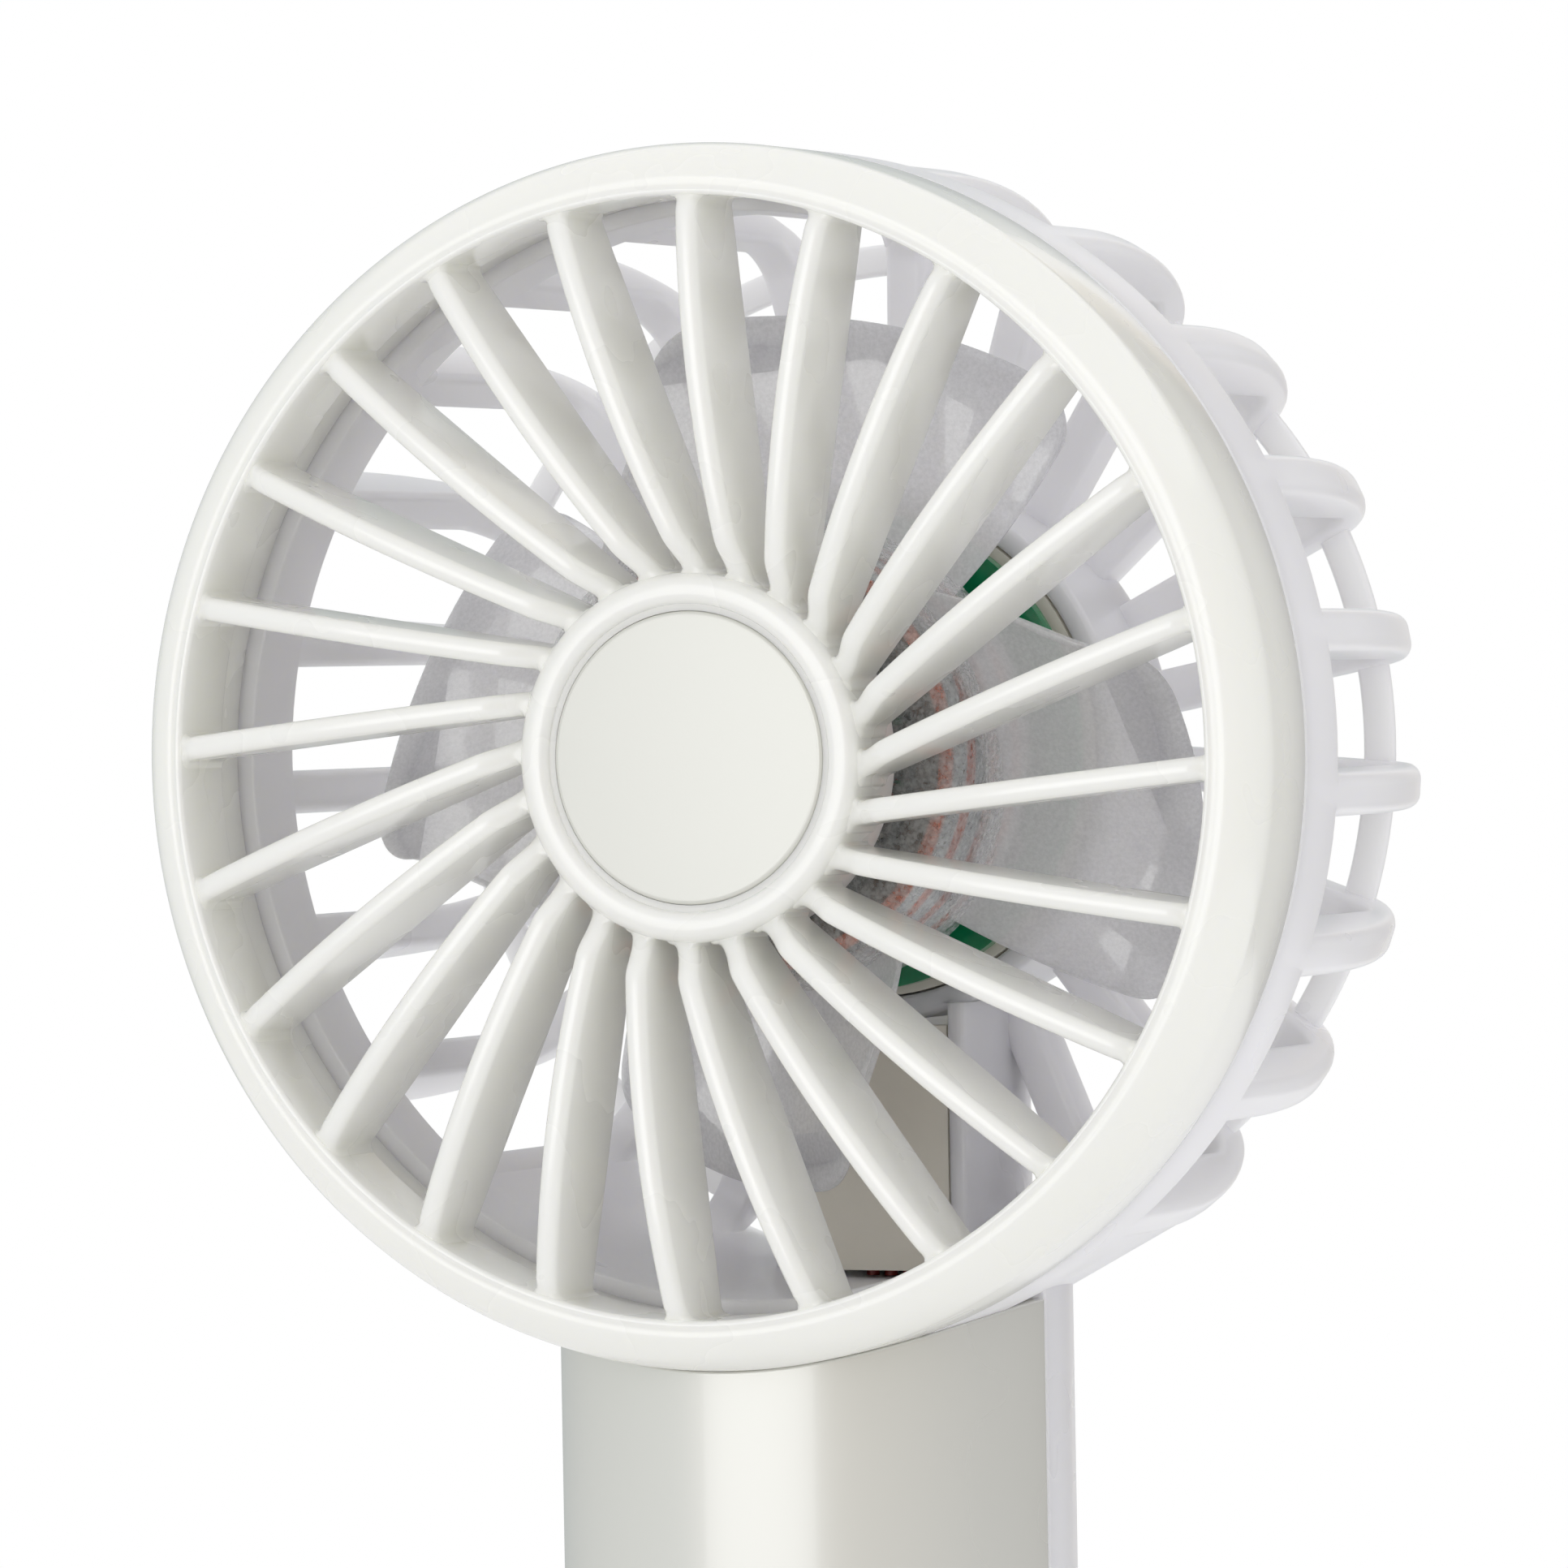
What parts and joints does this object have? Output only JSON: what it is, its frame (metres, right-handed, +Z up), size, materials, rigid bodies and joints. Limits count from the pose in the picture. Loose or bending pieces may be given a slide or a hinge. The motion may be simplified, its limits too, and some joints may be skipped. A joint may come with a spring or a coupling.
{
  "type": "handheld electric fan",
  "caption": "Small battery fan: round louvred cage head with a see-through impeller on a straight cylindrical handle that stands on its flat end.",
  "frame": {"origin": "centre of the handle's flat bottom face", "axes": "+Z up along the handle, -Y the way the fan blows, +X to the right seen from the front"},
  "size_m": [0.089, 0.0483, 0.2045],
  "materials": {
    "grille_plastic": "moulded, soft gloss, slightly see-through",
    "disc_plastic": "satin",
    "shell_plastic": "moulded, gloss, slightly see-through",
    "handle_plastic": "high gloss",
    "cap_plastic": "fine satin",
    "inner_plastic": "natural, satin",
    "impeller_plastic": "frosted, see-through",
    "steel": "bright",
    "magnet_grey": "moulded ferrite, matt",
    "laminated_steel": "stamped",
    "copper_wire": "enamelled",
    "bronze": "sintered",
    "board_green": "solder mask",
    "wire_red": "satin",
    "cell_sleeve": "plain shrink sleeve",
    "black_resin": "matt",
    "button_plastic": "gloss",
    "lamp_resin": "clear, diffusing"
  },
  "bodies": {
    "case": {"front_grille": "grille_plastic", "hub_disc": "disc_plastic", "rear_shell": "shell_plastic", "front_handle_shell": "handle_plastic", "base_cap": "cap_plastic", "channel_cover": "inner_plastic", "stator_core": "laminated_steel", "stator_bobbins": "inner_plastic", "stator_coils": "copper_wire", "front_bearing": "bronze", "rear_bearing": "bronze", "motor_base": "inner_plastic", "motor_board": "board_green", "motor_screws": "steel", "motor_wires": "wire_red", "battery_cell": "cell_sleeve", "battery_cradle": "inner_plastic", "battery_tabs": "steel", "control_board": "board_green", "board_screws": "steel", "control_chips": "black_resin", "tact_switch": "black_resin", "indicator_leds": "lamp_resin", "light_pipe": "lamp_resin", "charge_board": "board_green", "usb_socket": "steel"},
    "rotor": {"impeller": "impeller_plastic", "rotor_yoke": "steel", "magnet_ring": "magnet_grey", "motor_shaft": "steel", "shaft_clip": "steel"},
    "button": {"power_button": "button_plastic", "switch_plunger": "button_plastic"}
  },
  "joints": [
    {"name": "impeller_spin", "type": "hinge", "parent": "case", "child": "rotor", "pos_m": [0, 0, 0.16], "axis": [0, 1, 0], "continuous": true},
    {"name": "button_press", "type": "slide", "parent": "case", "child": "button", "axis": [0, 1, 0], "range_m": [0, 0.0005], "stiffness_N_per_m": 2000}
  ]
}
